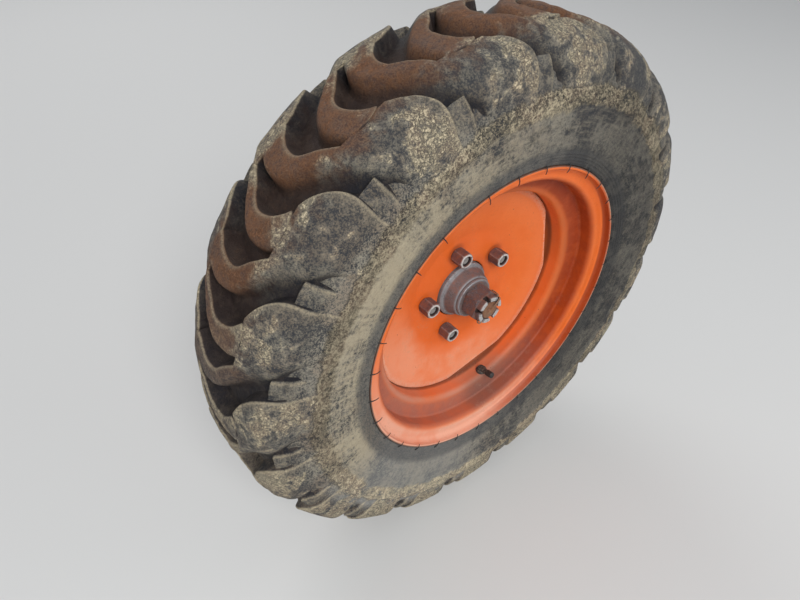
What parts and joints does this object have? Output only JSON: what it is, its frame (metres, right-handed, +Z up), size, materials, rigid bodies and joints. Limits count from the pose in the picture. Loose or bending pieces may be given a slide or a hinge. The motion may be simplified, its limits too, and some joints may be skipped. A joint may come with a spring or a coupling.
{
  "type": "driven wheel on its axle end",
  "caption": "Lugged tyre on a bolted disc wheel, on a hub with brake drum and a half shaft that turns in a flanged axle arm.",
  "frame": {"origin": "centre of the face by which the axle arm bolts to the axle case", "axes": "+Y along the axle, inboard towards the machine, so the wheel's outer side faces -Y; +Z up as the wheel stands"},
  "size_m": [0.7684, 0.423, 0.7684],
  "materials": {
    "tyre": "worn black rubber with dried mud",
    "wheel_paint": "faded gloss with rust",
    "axle_paint": "matt, dusty",
    "hub_iron": "matt, rusty",
    "bright_steel": "worn",
    "nut_steel": "worn, rusty",
    "valve_rubber": "dusty",
    "cap_plastic": "dusty"
  },
  "bodies": {
    "axle_end": {"axle_arm": "axle_paint", "wheel_bearing": "bright_steel", "bearing_cover": "axle_paint", "brake_back_plate": "axle_paint", "brake_bolts": "nut_steel", "brake_cylinder": "hub_iron", "bleed_screw": "bright_steel"},
    "wheel": {"brake_drum": "hub_iron", "hub": "hub_iron", "half_shaft": "bright_steel", "hub_washer": "bright_steel", "castle_nut": "nut_steel", "split_pin": "nut_steel", "wheel_studs": "nut_steel", "wheel_nut_1": "nut_steel", "wheel_nut_2": "nut_steel", "wheel_nut_3": "nut_steel", "wheel_nut_4": "nut_steel", "wheel_nut_5": "nut_steel", "wheel_disc": "wheel_paint", "rim": "wheel_paint", "valve_stem": "valve_rubber", "valve_cap": "cap_plastic", "tyre": "tyre"}
  },
  "joints": [
    {"name": "wheel_spin", "type": "hinge", "parent": "axle_end", "child": "wheel", "pos_m": [0, -0.265, 0], "axis": [0, 1, 0], "continuous": true}
  ]
}
